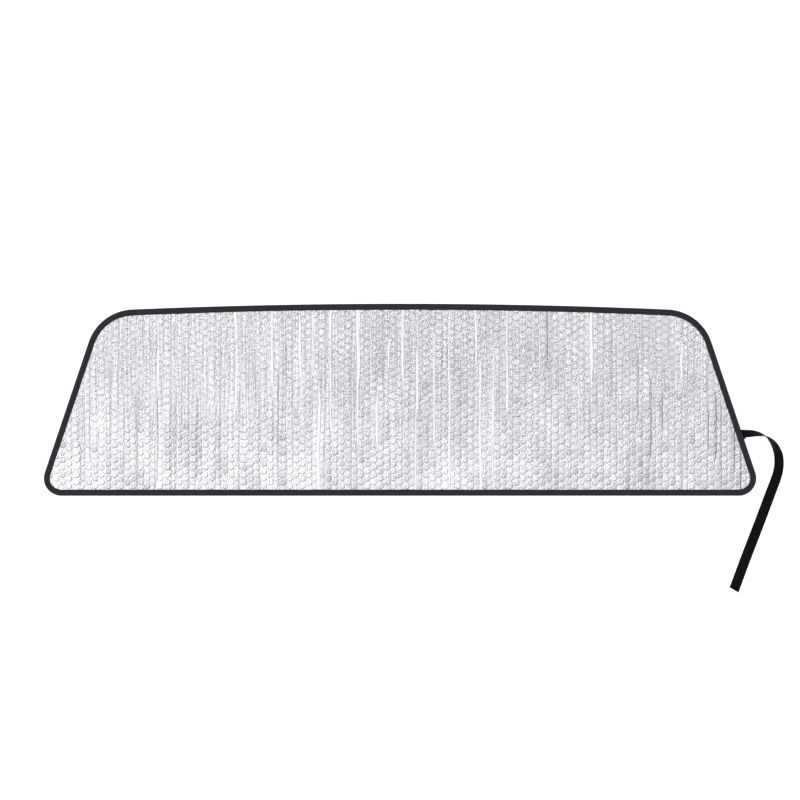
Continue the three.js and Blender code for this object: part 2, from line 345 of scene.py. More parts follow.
# short faint folds between them, thickest on the left where the sheet has been rolled tightest
faintFolds = {
    "tries": 3,                  # for each fold line
    "chanceLeft": 0.7,           # of each try
    "chanceRight": 0.4,
    "leftUpTo": -100 * mm,
    "halfLengths": (20, 110),    # in millimetres
    "kinds": (-0.5, 1),          # light or dark
    "strengths": (0.2, 0.8),
    "keptOff": 0.1,              # strength of a dark fold from which they keep off it
}
columnStep = bubbles["pitch"] * math.sin(math.pi / 3)
rowStep = bubbles["pitch"] / 2
filmZ = sheetTop - bubbles["height"]


def creaseStrength(lines, seamX, rowY):
    # how strong the lines are at each fold line and row, and how far each lies from its fold line
    total = np.zeros((len(seamX), len(rowY)))
    offset = np.zeros(total.shape)
    half = seam["fade"] / 2
    for x, low, high, strength in lines:
        at = np.abs(seamX - x * mm).argmin()
        window = smoothStep(low * mm - half, low * mm + half, rowY)
        window = window * (1 - smoothStep(high * mm - half, high * mm + half, rowY))
        offset[at] += window * (x * mm - seamX[at] - offset[at])
        total[at] = np.maximum(total[at], window * strength) if strength > 0 else window * strength
    return total, offset


def faintFoldStrength(seamX, rowY, draw):
    lines = []
    for x in seamX:
        chance = faintFolds["chanceLeft" if x < faintFolds["leftUpTo"] else "chanceRight"]
        for _ in range(faintFolds["tries"]):
            if draw.random() < chance:
                middle = draw.uniform(rowY[0], rowY[-1]) / mm
                half = draw.uniform(*faintFolds["halfLengths"])
                strength = draw.choice(faintFolds["kinds"]) * draw.uniform(*faintFolds["strengths"])
                lines.append((x / mm, middle - half, middle + half, strength))
    return creaseStrength(lines, seamX, rowY)[0]


def layOutSeams(seamX, rowY, draw):
    # places, heights, slopes and painted light of each seam's left, middle and right line, by seam and row
    bands, bandOffset = creaseStrength(brightBands, seamX, rowY)
    folds, foldOffset = creaseStrength(darkFolds, seamX, rowY)
    isBand = np.clip(bands, 0, 1)
    folds += faintFoldStrength(seamX, rowY, draw) * (np.abs(folds) < faintFolds["keptOff"])
    folds *= 1 - isBand
    x, y = np.meshgrid(seamX, rowY, indexing="ij")
    bandSway = seam["bandSway"] * ripple(x * 40, y, waveX=1.0, waveY=0.22, seed=3)
    foldSway = seam["foldSway"] * ripple(x * 60, y, waveX=1.0, waveY=0.05, seed=4)
    wander = isBand * (bandOffset + bandSway) + np.clip(np.abs(folds), 0, 1) * foldOffset + foldSway
    wide = seam["foldWidth"] * np.clip(np.abs(folds), 0, seam["foldWidest"])
    half = seam["halfWidth"] + wide + seam["bandWidth"] * bands
    middle = wander + half * seam["bandCrest"] * isBand
    uneven = [seam["unevenness"] * draw.standard_normal(x.shape) for _ in range(3)]
    step = seam["foldStep"] * np.clip(folds, -seam["foldSteepest"], seam["foldSteepest"])
    crest = 1 - seam["bandUneven"] + seam["bandUneven"] * ripple(x * 30, y, waveX=1.0, waveY=0.03, seed=5)
    heights = [uneven[0] + step, uneven[1] + seam["bandRise"] * bands * crest, uneven[2] - step]
    room = seam["room"]
    places = [x + np.clip(side, -room, room) for side in (wander - half, middle, wander + half)]

    left, top, right = seam["bandTilts"]
    leaning = (np.arange(len(seamX))[:, None] + np.arange(len(rowY))[None, :]) % 2
    folds = folds * (1 - seam["dashed"] * leaning)
    foldTilt = seam["foldTilt"] * np.clip(folds, -seam["foldSteepest"], seam["foldSteepest"])
    # painted shade along the dark folds, and painted highlight on the bright bands
    paintedFoldShade, sides = seam["paintedFoldShade"] * folds, seam["foldSides"]
    tilts = [left * isBand + sides * foldTilt, top * isBand + foldTilt, right * isBand + sides * foldTilt]
    paintedBandHighlight = seam["paintedBandHighlight"] * isBand
    paintedSeamShades = [paintedBandHighlight + sides * paintedFoldShade, paintedBandHighlight + paintedFoldShade, sides * paintedFoldShade]
    return places, heights, tilts, paintedSeamShades, bands


def zipRings(inner, outer):
    # triangles between two closed rings, each given as its angles or runs in rising order
    fullRound = 1e6             # more than any angle or run, so that the closing steps come last
    nextInner = [*inner[1:], inner[0] + fullRound, math.inf]
    nextOuter = [*outer[1:], outer[0] + fullRound, math.inf]
    faces = []
    i = j = 0
    while i < len(inner) or j < len(outer):
        a, b = i % len(inner), j % len(outer)
        if nextOuter[j] <= nextInner[i]:
            faces.append(("io", a, b, (j + 1) % len(outer)))
            j += 1
        else:
            faces.append(("ii", (i + 1) % len(inner), a, b))
            i += 1
    return faces


def annulus(innerIds, outerIds, pattern):
    # the pattern's triangles for every row of point numbers
    faces = []
    for kind, a, b, c in pattern:
        if kind == "io":
            faces.append(np.stack([innerIds[:, a], outerIds[:, b], outerIds[:, c]], -1))
        else:
            faces.append(np.stack([innerIds[:, a], innerIds[:, b], outerIds[:, c]], -1))
    return np.concatenate(faces)


def describeBubbles(x, y, left, right, bandBeside, column, draw):
    # what each bubble is like: full low down and on the right, crushed higher up on the left
    crushX, crushFrom, crushBy = np.array(bubbles["crushed"]).T
    start = np.interp(x, crushX, crushFrom)
    start += bubbles["crushUneven"] * ripple(x, y, waveX=0.3, waveY=0.2, seed=8)
    fullness = 1 - np.interp(x, crushX, crushBy) * smoothStep(start, start + bubbles["crushFade"], y)
    fullness *= np.clip(1 + bubbles["fullSpread"] * draw.standard_normal(len(x)), *bubbles["fullRange"])
    fullness *= 1 - bubbles["besideBand"] * np.clip(bandBeside, 0, 1)
    shift = bubbles["shift"] * draw.standard_normal((2, len(x)))
    tilt = bubbles["tilt"] * draw.standard_normal((2, len(x))) * fullness
    topDent = bubbles["dent"] * draw.standard_normal(len(x))
    columnTilt = np.interp(x, bubbles["columnTiltEnds"], bubbles["columnTilt"])
    tilt[0] += columnTilt * draw.standard_normal(column.max() + 1)[column]
    swell = bubbles["swell"] * ripple(x, y, waveX=0.2, waveY=0.35, seed=9)
    # painted shade on the tops of the bubbles, more on fuller ones and uneven at random
    paintedShades = 1 + bubbles["topShadeSpread"] * draw.standard_normal(len(x))
    paintedShades += bubbles["topShadePatches"] * ripple(x, y, waveX=0.15, waveY=0.2, seed=10)
    return {
        "centre": np.array([x, y]),
        "left": x - left,
        "right": right - x,
        "shift": shift,
        "tilt": tilt,
        "topDent": topDent,
        "fullness": fullness,
        "slope": np.stack([swell - tilt[0], -swell - tilt[1], np.ones(len(x))], -1),
        "shadeAndDull": fullness * np.clip(paintedShades, 0, 2),
    }


def bubbleRing(looks, ring, bubbleHeight, draw):
    # x, y and z of the points round every bubble, on a ring that is given as
    # [share of the way out to the fold lines, reach up and down, corners, level]
    share, reach, corners, level = ring
    angles = np.arange(corners) * 2 * math.pi / corners
    across = share * np.cos(angles)[None, :]
    across = across * np.where(across > 0, looks["right"][:, None], looks["left"][:, None])
    up = reach * np.sin(angles)[None, :]
    x, y = looks["centre"] + (1 - share) * looks["shift"]
    lean = looks["tilt"][0][:, None] * across + looks["tilt"][1][:, None] * up
    dent = bubbles["dent"] * draw.standard_normal(across.shape)
    height = bubbleHeight * looks["fullness"][:, None] * (1 + dent)
    return x[:, None] + across, y[:, None] + up, level * (height + lean)


def bubbleFaces(rings, ringIds, border):
    # triangles from every bubble's middle out to its border, ring by ring
    borderAngles = [0, 53, 90, 127, 180, 233, 270, 307]
    angles = [np.arange(corners) * 360 / corners for _, _, corners, _ in rings] + [borderAngles]
    corners = len(angles[0])
    fan = [("io", 0, k, (k + 1) % corners) for k in range(corners)]
    patterns = [fan, *(zipRings(*pair) for pair in zip(angles, angles[1:]))]
    loops = [*ringIds, border]
    return [annulus(inner, outer, pattern) for inner, outer, pattern in zip(loops, loops[1:], patterns)]


def bubbleSide(seed, bubbleHeight, rings, foldShare, seamLines):
    # one side of the sheet: points [x, y, z, slope, painted shade], heights counted from the film between
    # bubbles, triangles facing up, the bubble that owns each, and what each bubble is like
    draw = np.random.default_rng(seed)
    lastColumn = math.ceil(halfWidth / columnStep) + 1
    lastRow = math.ceil(halfHeight / rowStep) + 2
    columns = np.arange(-lastColumn, lastColumn + 1)
    columnX = columns * columnStep
    rows = np.arange(-lastRow, lastRow + 1)
    rowY = rows * rowStep
    seamX = (np.arange(-lastColumn, lastColumn + 2) - 0.5) * columnStep
    places, heights, tilts, paintedSeamShades, bands = layOutSeams(seamX, rowY, draw)

    points = []
    count = 0

    def addPoints(*values):
        # the numbers of new points, in the shape of the values; what isn't given is zero
        nonlocal count
        values = np.broadcast_arrays(*values, *[0.0] * (5 - len(values)))
        points.append(np.stack(values, -1).reshape(-1, 5))
        ids = np.arange(count, count + values[0].size).reshape(values[0].shape)
        count += values[0].size
        return ids

    seamIds = [addPoints(places[k], rowY[None, :], heights[k] * foldShare, tilts[k], paintedSeamShades[k])
               for k in range(3)]
    middles = bubbles["filmUneven"] * draw.standard_normal((len(columns), len(rowY)))
    middleIds = addPoints(columnX[:, None], rowY[None, :], middles * foldShare)

    # a bubble stands at every second row of a column, and those of the next column lie between them
    staggered = (columns[:, None] + rows[None, :]) % 2 == 0
    staggered[:, [0, -1]] = False
    c, r = np.nonzero(staggered)
    bandBeside = np.maximum(bands[c, r], bands[c + 1, r])
    looks = describeBubbles(columnX[c], rowY[r], places[2][c, r], places[0][c + 1, r], bandBeside, c, draw)
    topHeight = bubbleHeight * looks["fullness"] * (bubbles["topLevel"] + looks["topDent"])
    ringIds = [addPoints(*(looks["centre"] + looks["shift"]), topHeight)[:, None]]
    ringIds += [addPoints(*bubbleRing(looks, ring, bubbleHeight, draw)) for ring in rings]
    border = np.stack([
        seamIds[0][c + 1, r], seamIds[0][c + 1, r + 1], middleIds[c, r + 1], seamIds[2][c, r + 1],
        seamIds[2][c, r], seamIds[2][c, r - 1], middleIds[c, r - 1], seamIds[0][c + 1, r - 1],
    ], -1)
    faces = bubbleFaces(rings, ringIds, border)
    owners = np.tile(np.arange(len(c)), sum(len(part) for part in faces) // len(c))
    for a, b in zip(seamLines, seamLines[1:]):
        corners = [seamIds[a][:, :-1], seamIds[b][:, :-1], seamIds[b][:, 1:], seamIds[a][:, 1:]]
        strip = np.stack([corner.ravel() for corner in corners], -1)
        faces.append(strip[:, [0, 1, 2]])
        faces.append(strip[:, [0, 2, 3]])
    faces = np.concatenate(faces)
    owners = np.concatenate([owners, np.full(len(faces) - len(owners), -1)])
    return np.concatenate(points), faces, owners, looks


def clipSide(points, faces, owners, limit):
    # keeps what is further in than the limit, and returns the cut's points as a ring, anticlockwise
    inset, _ = insetOf(points[:, :2])
    inside = inset > limit
    within = inside[faces].sum(1)
    kept = faces[within == 3].tolist()
    keptOwners = owners[within == 3].tolist()
    partly = (within == 1) | (within == 2)
    extra = []
    cutAt = {}
    follow = {}

    def cut(a, b):
        key = (min(a, b), max(a, b))
        if key not in cutAt:
            share = (limit - inset[a]) / (inset[b] - inset[a])
            cutAt[key] = len(points) + len(extra)
            extra.append(points[a] + share * (points[b] - points[a]))
        return cutAt[key]

    for face, owner in zip(faces[partly].tolist(), owners[partly].tolist()):
        lonely = [k for k in range(3) if inside[face[k]] == (inside[face].sum() == 1)][0]
        a, b, c = face[lonely], face[(lonely + 1) % 3], face[(lonely + 2) % 3]
        ab, ac = cut(a, b), cut(a, c)
        if inside[a]:
            kept.append([a, ab, ac])
            follow[ab] = ac
        else:
            kept.append([ab, b, c])
            kept.append([ab, c, ac])
            keptOwners.append(owner)
            follow[ac] = ab
        keptOwners.append(owner)
    ring = [next(iter(follow))]
    while follow[ring[-1]] != ring[0]:
        ring.append(follow[ring[-1]])
    points = np.vstack([points, extra])
    inset, out = insetOf(points[ring, :2])
    points[ring, :2] += out * (inset - limit)[:, None]
    return points, np.array(kept), np.array(keptOwners), np.array(ring), out


def cornerLooks(points, faces, owners, looks):
    # for each corner of each face: its place in its bubble, the slope that the light sees, its painted
    # light
    corners = points[faces]
    place = np.zeros((len(faces), 3, 3))
    slope = np.zeros((len(faces), 3, 3))
    shadeAndDull = np.zeros((len(faces), 3, 3))
    onSeam = owners < 0
    slope[onSeam, :, 0] = corners[onSeam, :, 3]
    slope[onSeam, :, 2] = 1
    shadeAndDull[onSeam, :, 0] = corners[onSeam, :, 4]
    cell = owners[~onSeam]
    middles = (looks["centre"] + looks["shift"]).T
    away = corners[~onSeam, :, :2] - middles[cell][:, None]
    wide = np.where(away[..., 0] > 0, looks["right"][cell][:, None], looks["left"][cell][:, None])
    place[~onSeam, :, 0] = away[..., 0] / wide
    place[~onSeam, :, 1] = away[..., 1] / bubbles["radiusY"]
    place[~onSeam, :, 2] = looks["fullness"][cell][:, None]
    slope[~onSeam] = looks["slope"][cell][:, None]
    shadeAndDull[~onSeam, :, 0] = looks["shadeAndDull"][cell][:, None]
    slope /= np.linalg.norm(slope, axis=2, keepdims=True)
    return place, slope, shadeAndDull


def runsOf(flat):
    # run along the edge of the nearest traced point
    runs = np.empty(len(flat))
    for k, point in enumerate(flat):
        runs[k] = edgeRuns[np.square(edgePoints - point).sum(1).argmin()]
    return runs


def fromLowest(ring, runs):
    # turns a ring so that its runs rise from the first
    start = int(runs.argmin())
    return np.roll(ring, -start), np.roll(runs, -start)


def easeToRim(points, height):
    # brings one side of the sheet to the height of its squeezed edge
    inset, _ = insetOf(points[:, :2])
    share = smoothStep(*rim["slope"], inset)
    points[:, 2] = height + share * (points[:, 2] - height)


def buildSheet():
    topReach = bubbles["topShare"] * bubbles["radiusY"]
    rings = [
        (bubbles["topShare"], topReach, bubbles["corners"], bubbles["topLevel"]),
        (bubbles["footShare"], bubbles["radiusY"], bubbles["corners"], bubbles["footLevel"]),
    ]
    front, frontFaces, owners, looks = bubbleSide(11, bubbles["height"], rings, 1.0, seamLines=(0, 1, 2))
    rings = [(backBubbles["topShare"], backBubbles["radiusY"], backBubbles["corners"], 1.0)]
    back, backFaces, backOwners, _ = bubbleSide(
        12, backBubbles["height"], rings, backBubbles["foldShare"], seamLines=(0, 2))

    wave = bubbles["wave"] * ripple(front[:, 0], front[:, 1], waveX=0.11, waveY=0.5, seed=21)
    front[:, 2] += filmZ + wave
    front, frontFaces, owners, frontRing, frontOut = clipSide(front, frontFaces, owners, rim["clip"])
    place, slope, shadeAndDull = cornerLooks(front, frontFaces, owners, looks)
    easeToRim(front, rim["top"])

    back[:, 2] = np.clip(backBubbles["height"] - back[:, 2], 0, None)
    back, backFaces, _, backRing, _ = clipSide(back, backFaces, backOwners, rim["clip"])
    easeToRim(back, rim["bottom"])

    # the squeezed edge under the tape: out along its top, down its end, and back along its bottom
    edgeFlat = front[frontRing, :2] + frontOut * (rim["clip"] - rim["edge"])
    count = len(frontRing)
    base = len(front) + len(back)
    upper = np.column_stack([edgeFlat, np.full(count, rim["top"])])
    lower = np.column_stack([edgeFlat, np.full(count, rim["bottom"])])
    upperIds, lowerIds = np.arange(base, base + count), np.arange(base + count, base + 2 * count)
    points = np.vstack([front[:, :3], back[:, :3], upper, lower])
    ahead = np.roll(np.arange(count), -1)
    faces = [frontFaces, backFaces[:, ::-1] + len(front)]
    for inner, outer in ((frontRing, upperIds), (upperIds, lowerIds)):
        faces.append(np.stack([inner[ahead], inner, outer], -1))
        faces.append(np.stack([inner[ahead], outer, outer[ahead]], -1))
    innerIds, innerRuns = fromLowest(backRing + len(front), runsOf(back[backRing, :2]))
    outerIds, outerRuns = fromLowest(lowerIds, runsOf(edgeFlat))
    bottom = annulus(innerIds[None, :], outerIds[None, :], zipRings(innerRuns, outerRuns))
    faces.append(bottom[:, ::-1])

    # the light sees the film's own slopes on the front, and the plain form elsewhere
    faces = np.concatenate(faces)
    rest = np.zeros((len(faces) - len(frontFaces), 3, 3))
    beyondRims = 9              # a place that no bubble's side reaches
    cornerValues = [np.concatenate([seen, plain]).reshape(-1, 3)
                    for seen, plain in ((place, rest + beyondRims), (slope, rest), (shadeAndDull, rest))]
    used = np.unique(faces)
    renumber = np.zeros(len(points), int)
    renumber[used] = np.arange(len(used))
    return points[used], renumber[faces], cornerValues


foilFinish = {
    "bright": (0.97, 0.965, 1.0),
    # the colour that painted shade, random patches and dull film mix towards
    "shadeAndDull": (0.48, 0.477, 0.5),
    "dullness": 0.03,            # share of the dull colour in flat film
    "paintedTopShade": 0.2,              # painted shade that the tops of the bubbles add
    "patchy": 0.05,              # how far random patches move it either way
    # how far painted shade and highlight along the wrinkles and crinkles move it
    "paintedWrinkleShade": 0.38,
    "paintedCrinkleShade": 0.62,
    "rimTilt": 0.57,             # slope of a full bubble's side
    "rimFrom": (0.7, 0.84),      # where that side begins and ends, as shares of the way out
    "rimTo": (0.98, 1.05),
    "rimUneven": (0.6, 1.3),
    "unround": 0.14,
    "calmTop": 0.5,              # how much of the crinkle is left on top of a full bubble
    "calmUpTo": (0.7, 0.95),     # it comes back between these shares of the way out
    "calmBand": 0.4,             # how much is left on a bright band
    "roughness": (0.2, 0.32),
    "fineShare": 0.4,            # of the fine wrinkles beside the long ones
    "wrinkleDepth": 1.8 * mm,
    "crinkleDepth": 2.1 * mm,
    "crinkleStrength": 0.85,
}
# how the finish changes over the sheet: [from, to, amount before the one, amount past the other]
foilSpread = {
    "wrinklesUp": (-0.12, 0.06, 0.4, 1),
    "wrinklesAcross": (-0.2, 0.1, 1, 0.5),
    "crinklesUp": (-0.12, 0.08, 0.95, 1.8),
    "crinklesAcross": (-0.3, 0, 0.8, 1),
    "upperToneUp": (-0.18, 0.04, 0, 1),
    "upperToneAcross": (0.1, 0.35, 0.17, -0.06),  # what it adds to the dullness: darker on the left, a little lighter on the right
}
# its noise fields: [stretch, scale, detail]
foilGrain = {
    "patches": ((1, 1, 1), 9, 3),
    "smears": ((1, 0.15, 1), 60, 3),
    "longWrinkles": ((1, 0.03, 1), 230, 4),
    "fineWrinkles": ((1, 0.06, 1), 600, 2),
    "crinkles": ((1, 0.8, 1), 420, 3),
    "unroundness": ((1, 1, 1), 150, 1),
    "rimPatches": ((1, 1, 1), 220, 1),
}


def bubbleSlope(tree, shape, unroundness, rimPatches):
    # slope of the bubbles' sides, and how far out within its bubble each point lies
    offCentre = vectorOf(tree, "SUBTRACT", unroundness, (0.5, 0.5, 0.5))
    warp = vectorOf(tree, "SCALE", offCentre, scale=foilFinish["unround"])
    flat = vectorOf(tree, "MULTIPLY", vectorOf(tree, "ADD", shape, warp), (1, 1, 0))
    reach = vectorOf(tree, "LENGTH", flat)
    side = mathOf(tree, "MULTIPLY", mapped(tree, reach, *foilFinish["rimFrom"], 0, 1),
                  mapped(tree, reach, *foilFinish["rimTo"], 1, 0))
    fullness = addNode(tree, "ShaderNodeSeparateXYZ", {0: shape}).outputs["Z"]
    steep = mathOf(tree, "MULTIPLY", mathOf(tree, "MULTIPLY", side, fullness), foilFinish["rimTilt"])
    uneven = mapped(tree, rimPatches, *noiseSwing, *foilFinish["rimUneven"])
    steep = mathOf(tree, "MULTIPLY", steep, uneven)
    return vectorOf(tree, "SCALE", vectorOf(tree, "NORMALIZE", flat), scale=steep), reach


def foilMaterial():
    tree, shader, made = newMaterial("satin foil")
    place = addNode(tree, "ShaderNodeTexCoord").outputs["Object"]
    fields = {name: noiseAt(tree, place, *setting).outputs for name, setting in foilGrain.items()}
    grain = {name: outputs["Fac"] for name, outputs in fields.items()}
    axes = addNode(tree, "ShaderNodeSeparateXYZ", {0: place}).outputs
    spread = {name: mapped(tree, axes["X" if name.endswith("Across") else "Y"], *setting)
              for name, setting in foilSpread.items()}
    shader.inputs["Metallic"].default_value = 1
    rough = mapped(tree, grain["smears"], *noiseSwing, *foilFinish["roughness"])
    tree.links.new(rough, shader.inputs["Roughness"])
    # the bubbles' round sides
    shape = addNode(tree, "ShaderNodeAttribute", attribute_name="bubble").outputs["Vector"]
    sides, reach = bubbleSlope(tree, shape, fields["unroundness"]["Color"], grain["rimPatches"])
    film = addNode(tree, "ShaderNodeNewGeometry").outputs["Normal"]
    normal = vectorOf(tree, "NORMALIZE", vectorOf(tree, "ADD", film, sides))
    # long wrinkles run up the sheet, with finer ones between them
    wrinkling = mathOf(tree, "MULTIPLY", spread["wrinklesUp"], spread["wrinklesAcross"])
    fine = mathOf(tree, "MULTIPLY", grain["fineWrinkles"], foilFinish["fineShare"])
    wrinkles = mathOf(tree, "MULTIPLY", mathOf(tree, "ADD", grain["longWrinkles"], fine), wrinkling)
    # the film crinkles all over, but less on the bands and on top of the bubbles
    paintedShades = addNode(tree, "ShaderNodeAttribute", attribute_name="paintedShade").outputs["Vector"]
    paintedShade = addNode(tree, "ShaderNodeSeparateXYZ", {0: paintedShades}).outputs["X"]
    crinkling = mapped(tree, paintedShade, seam["paintedBandHighlight"], 0, foilFinish["calmBand"], 1)
    for share in (
        spread["crinklesUp"], spread["crinklesAcross"],
        mapped(tree, reach, *foilFinish["calmUpTo"], foilFinish["calmTop"], 1),
    ):
        crinkling = mathOf(tree, "MULTIPLY", crinkling, share)
    # the colour carries painted shade on the bubble tops and in the folds, painted highlight on the bands,
    # an upper part darker on the left, random patches, and painted shade and highlight along the wrinkles
    paintedShade = mathOf(tree, "MULTIPLY", paintedShade, mapped(tree, reach, *foilFinish["rimTo"], 1, 0))
    share = mathOf(tree, "MULTIPLY", paintedShade, foilFinish["paintedTopShade"])
    share = mathOf(tree, "ADD", share, foilFinish["dullness"])
    upperTone = mathOf(tree, "MULTIPLY", spread["upperToneUp"], spread["upperToneAcross"])
    share = mathOf(tree, "ADD", share, upperTone)
    # the patches are random tone; the wrinkles and crinkles add painted shade and highlight along their
    # bumps
    for name, swingReach in [
        ("patches", foilFinish["patchy"]),
        ("longWrinkles", mathOf(tree, "MULTIPLY", wrinkling, foilFinish["paintedWrinkleShade"])),
        ("crinkles", mathOf(tree, "MULTIPLY", crinkling, foilFinish["paintedCrinkleShade"])),
    ]:
        swing = mapped(tree, grain[name], *noiseSwing, -1, 1)
        share = mathOf(tree, "ADD", share, mathOf(tree, "MULTIPLY", swing, swingReach))
    colour = mixedColour(tree, share, foilFinish["bright"], foilFinish["shadeAndDull"])
    tree.links.new(colour, shader.inputs["Base Color"])
    first = addNode(tree, "ShaderNodeBump", {
        "Height": wrinkles, "Distance": foilFinish["wrinkleDepth"], "Normal": normal})
    second = addNode(tree, "ShaderNodeBump", {
        "Height": grain["crinkles"], "Distance": foilFinish["crinkleDepth"],
        "Strength": mathOf(tree, "MULTIPLY", crinkling, foilFinish["crinkleStrength"]),
        "Normal": first.outputs[0]})
    tree.links.new(second.outputs[0], shader.inputs["Normal"])
    return made


sheetPoints, sheetFaces, sheetValues = buildSheet()
bubblePlaces, filmSlopes, filmPaintedShade = sheetValues
foilSheet = addMesh("foil_sheet", sheetPoints, sheetFaces, {"bubble": bubblePlaces, "paintedShade": filmPaintedShade})
foilSheet.data.normals_split_custom_set(filmSlopes.tolist())
foilSheet.data.materials.append(foilMaterial())
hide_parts("foil_panel")
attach(foilSheet, "root")
print("foil sheet:", len(sheetPoints), "points,", len(sheetFaces), "triangles")

# Edge tape, folded over the sheet's edge
tape = {
    "reach": 12 * mm,            # how far in it covers the sheet
    "thickness": 0.6 * mm,
    "step": 2 * mm,
    "legPoints": 9,
    "foldPoints": 9,
    "seamInset": 10 * mm,
    "seamPull": 0.16 * mm,       # how far the stitches draw the tape in
    "seamSpread": 1.2 * mm,      # and how far to either side
    "crown": 0.12 * mm,
    "crownInset": 5 * mm,
    "crownLeft": (0.6, 0.3),     # what is left of it on either side of the seam
    "selvage": (0.15 * mm, 0.2 * mm),  # width and height of its rounded woven edge
    "selvageDroop": 0.05 * mm,
    "waver": 0.12 * mm,
    "waverFrom": 2 * mm,         # the fold itself doesn't waver
    "colour": (0.0305, 0.029, 0.0345),
    "ribPitch": 1.0 * mm,
    "pickPitch": 0.8 * mm,
    "weaveDepth": 0.08 * mm,
    "roughness": 0.75,
}


def tapeSection():
    # [inset, height] round the section: out under the edge, round the fold, in over the top, back inside
    low, high = tapeLow[2], tapeHigh[2]
    radius = (high - low) / 2
    thick = tape["thickness"]
    turns = np.linspace(0, math.pi, tape["foldPoints"])
    reach = tape["reach"]
    selvageWidth, selvageHeight = tape["selvage"]
    leg = np.linspace(reach - selvageWidth, radius, tape["legPoints"])[:-1]
    outer, inner = tape["crownLeft"]
    # how far the tape bulges at each inset
    bulges = [
        (radius, 0),
        (tape["crownInset"], tape["crown"]),
        (tape["seamInset"] - tape["seamSpread"], outer * tape["crown"]),
        (tape["seamInset"], -tape["seamPull"]),
        (tape["seamInset"] + tape["seamSpread"], inner * tape["crown"]),
        (reach, -tape["selvageDroop"]),
    ]
    bulge = np.interp(leg, *zip(*bulges))
    outside = [(inset, low - rise) for inset, rise in zip(leg, bulge)]
    outside += [(radius - radius * math.sin(a), low + radius - radius * math.cos(a)) for a in turns]
    outside += [(inset, high + rise) for inset, rise in zip(leg[::-1], bulge[::-1])]
    outside += [(reach, high - selvageHeight)]
    small = radius - thick
    inside = [(reach, high - thick), (radius, high - thick)]
    inside += [(radius - small * math.sin(a), low + radius + small * math.cos(a)) for a in turns[1:-1]]
    inside += [(radius, low + thick), (reach, low + thick), (reach, low + selvageHeight)]
    return np.array(outside + inside)


def buildTape():
    section = tapeSection()
    stations = int(edgeLength / tape["step"])
    runs = np.arange(stations) * edgeLength / stations
    turned = 2 * math.pi * runs / edgeLength
    waver = tape["waver"] * ripple(np.cos(turned), np.sin(turned), waveX=0.12, waveY=0.12, seed=31)
    points = []
    weave = []
    insideRun = np.concatenate([[0], np.cumsum(np.linalg.norm(np.diff(section, axis=0), axis=1))])
    for k, (inset, height) in enumerate(section):
        sway = waver * smoothStep(tape["waverFrom"], tape["reach"], inset)
        flat, _ = edgeAt(runs, inset + sway)
        points.append(np.column_stack([flat, np.full(stations, height)]))
        weave.append(np.column_stack([runs, np.full(stations, insideRun[k]), np.zeros(stations)]))
    points = np.stack(points, 1).reshape(-1, 3)
    weave = np.stack(weave, 1).reshape(-1, 3)
    return points, ringFaces(stations, len(section), closedRows=True), weave


# finish of both woven pieces
clothFinish = {
    "fuzz": 0.8,                 # against the weave's own relief
    "fuzzScale": 900,
    "wearScale": 40,
    "darkest": 0.82,
    "lightest": 1.22,
    "roughSwing": 0.08,
    "shine": 0.1,
}


def wovenMaterial(name, cloth):
    # threads across at the pick pitch and along at the rib pitch, from the piece's own weave coordinates
    tree, shader, made = newMaterial(name)
    weave = addNode(tree, "ShaderNodeAttribute", attribute_name="weave").outputs["Vector"]
    pitches = (1 / cloth["pickPitch"], 1 / cloth["ribPitch"], 0)
    axes = addNode(tree, "ShaderNodeSeparateXYZ", {0: vectorOf(tree, "MULTIPLY", weave, pitches)})
    picks = mathOf(tree, "SINE", mathOf(tree, "MULTIPLY", axes.outputs["X"], 2 * math.pi), 0)
    ribs = mathOf(tree, "SINE", mathOf(tree, "MULTIPLY", axes.outputs["Y"], 2 * math.pi), 0)
    cross = mathOf(tree, "MULTIPLY", picks, ribs)
    fuzz = noiseAt(tree, weave, (1, 1, 1), clothFinish["fuzzScale"], 3).outputs["Fac"]
    grain = mathOf(tree, "ADD", cross, mathOf(tree, "MULTIPLY", fuzz, clothFinish["fuzz"]))
    bump = addNode(tree, "ShaderNodeBump", {"Height": grain, "Distance": cloth["weaveDepth"]})
    tree.links.new(bump.outputs[0], shader.inputs["Normal"])
    wear = noiseAt(tree, weave, (1, 1, 1), clothFinish["wearScale"], 3)
    dark = tuple(clothFinish["darkest"] * part for part in cloth["colour"])
    light = tuple(clothFinish["lightest"] * part for part in cloth["colour"])
    tree.links.new(mixedColour(tree, wear.outputs["Fac"], dark, light), shader.inputs["Base Color"])
    swing = clothFinish["roughSwing"]
    rough = mapped(tree, grain, -1, 1.5, cloth["roughness"] + swing, cloth["roughness"] - swing)
    tree.links.new(rough, shader.inputs["Roughness"])
    shader.inputs["Specular IOR Level"].default_value = clothFinish["shine"]
    return made


tapePoints, tapeFaces, tapeWeave = buildTape()
edgeTape = addMesh("edge_tape", tapePoints, tapeFaces, {"weave": tapeWeave})
edgeTape.data.materials.append(wovenMaterial("woven edge tape", tape))
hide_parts("edge_binding")
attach(edgeTape, "root")
print("edge tape:", len(tapePoints), "points")

# Closing strap
strap = {
    "width": 20 * mm,
    "thickness": 1.2 * mm,
    "exitHeight": 118.5 * mm,    # over the bottom edge
    "sewn": 11.2 * mm,           # how far in under the tape its sewn end reaches
    "rootBottom": 0.3 * mm,      # height of that end's underside
    "endSlant": math.radians(10),
    "ribs": 9,
    "ribDepth": 0.12 * mm,
    "stepsPerRib": 4,
    "selvage": 0.5 * mm,         # width of its rounded woven edge
    "selvageCorner": (0.12 * mm, 0.3 * mm),  # how far in and how far up its rounding turns
    "stepsPerStretch": 8,        # of its route
    "colour": (0.004, 0.004, 0.0035),
    "ribPitch": 2.0 * mm,
    "pickPitch": 1.1 * mm,
    "weaveDepth": 0.12 * mm,
    "weaveShift": 0.5,           # so that its grain isn't the tape's
    "roughness": 0.7,
}
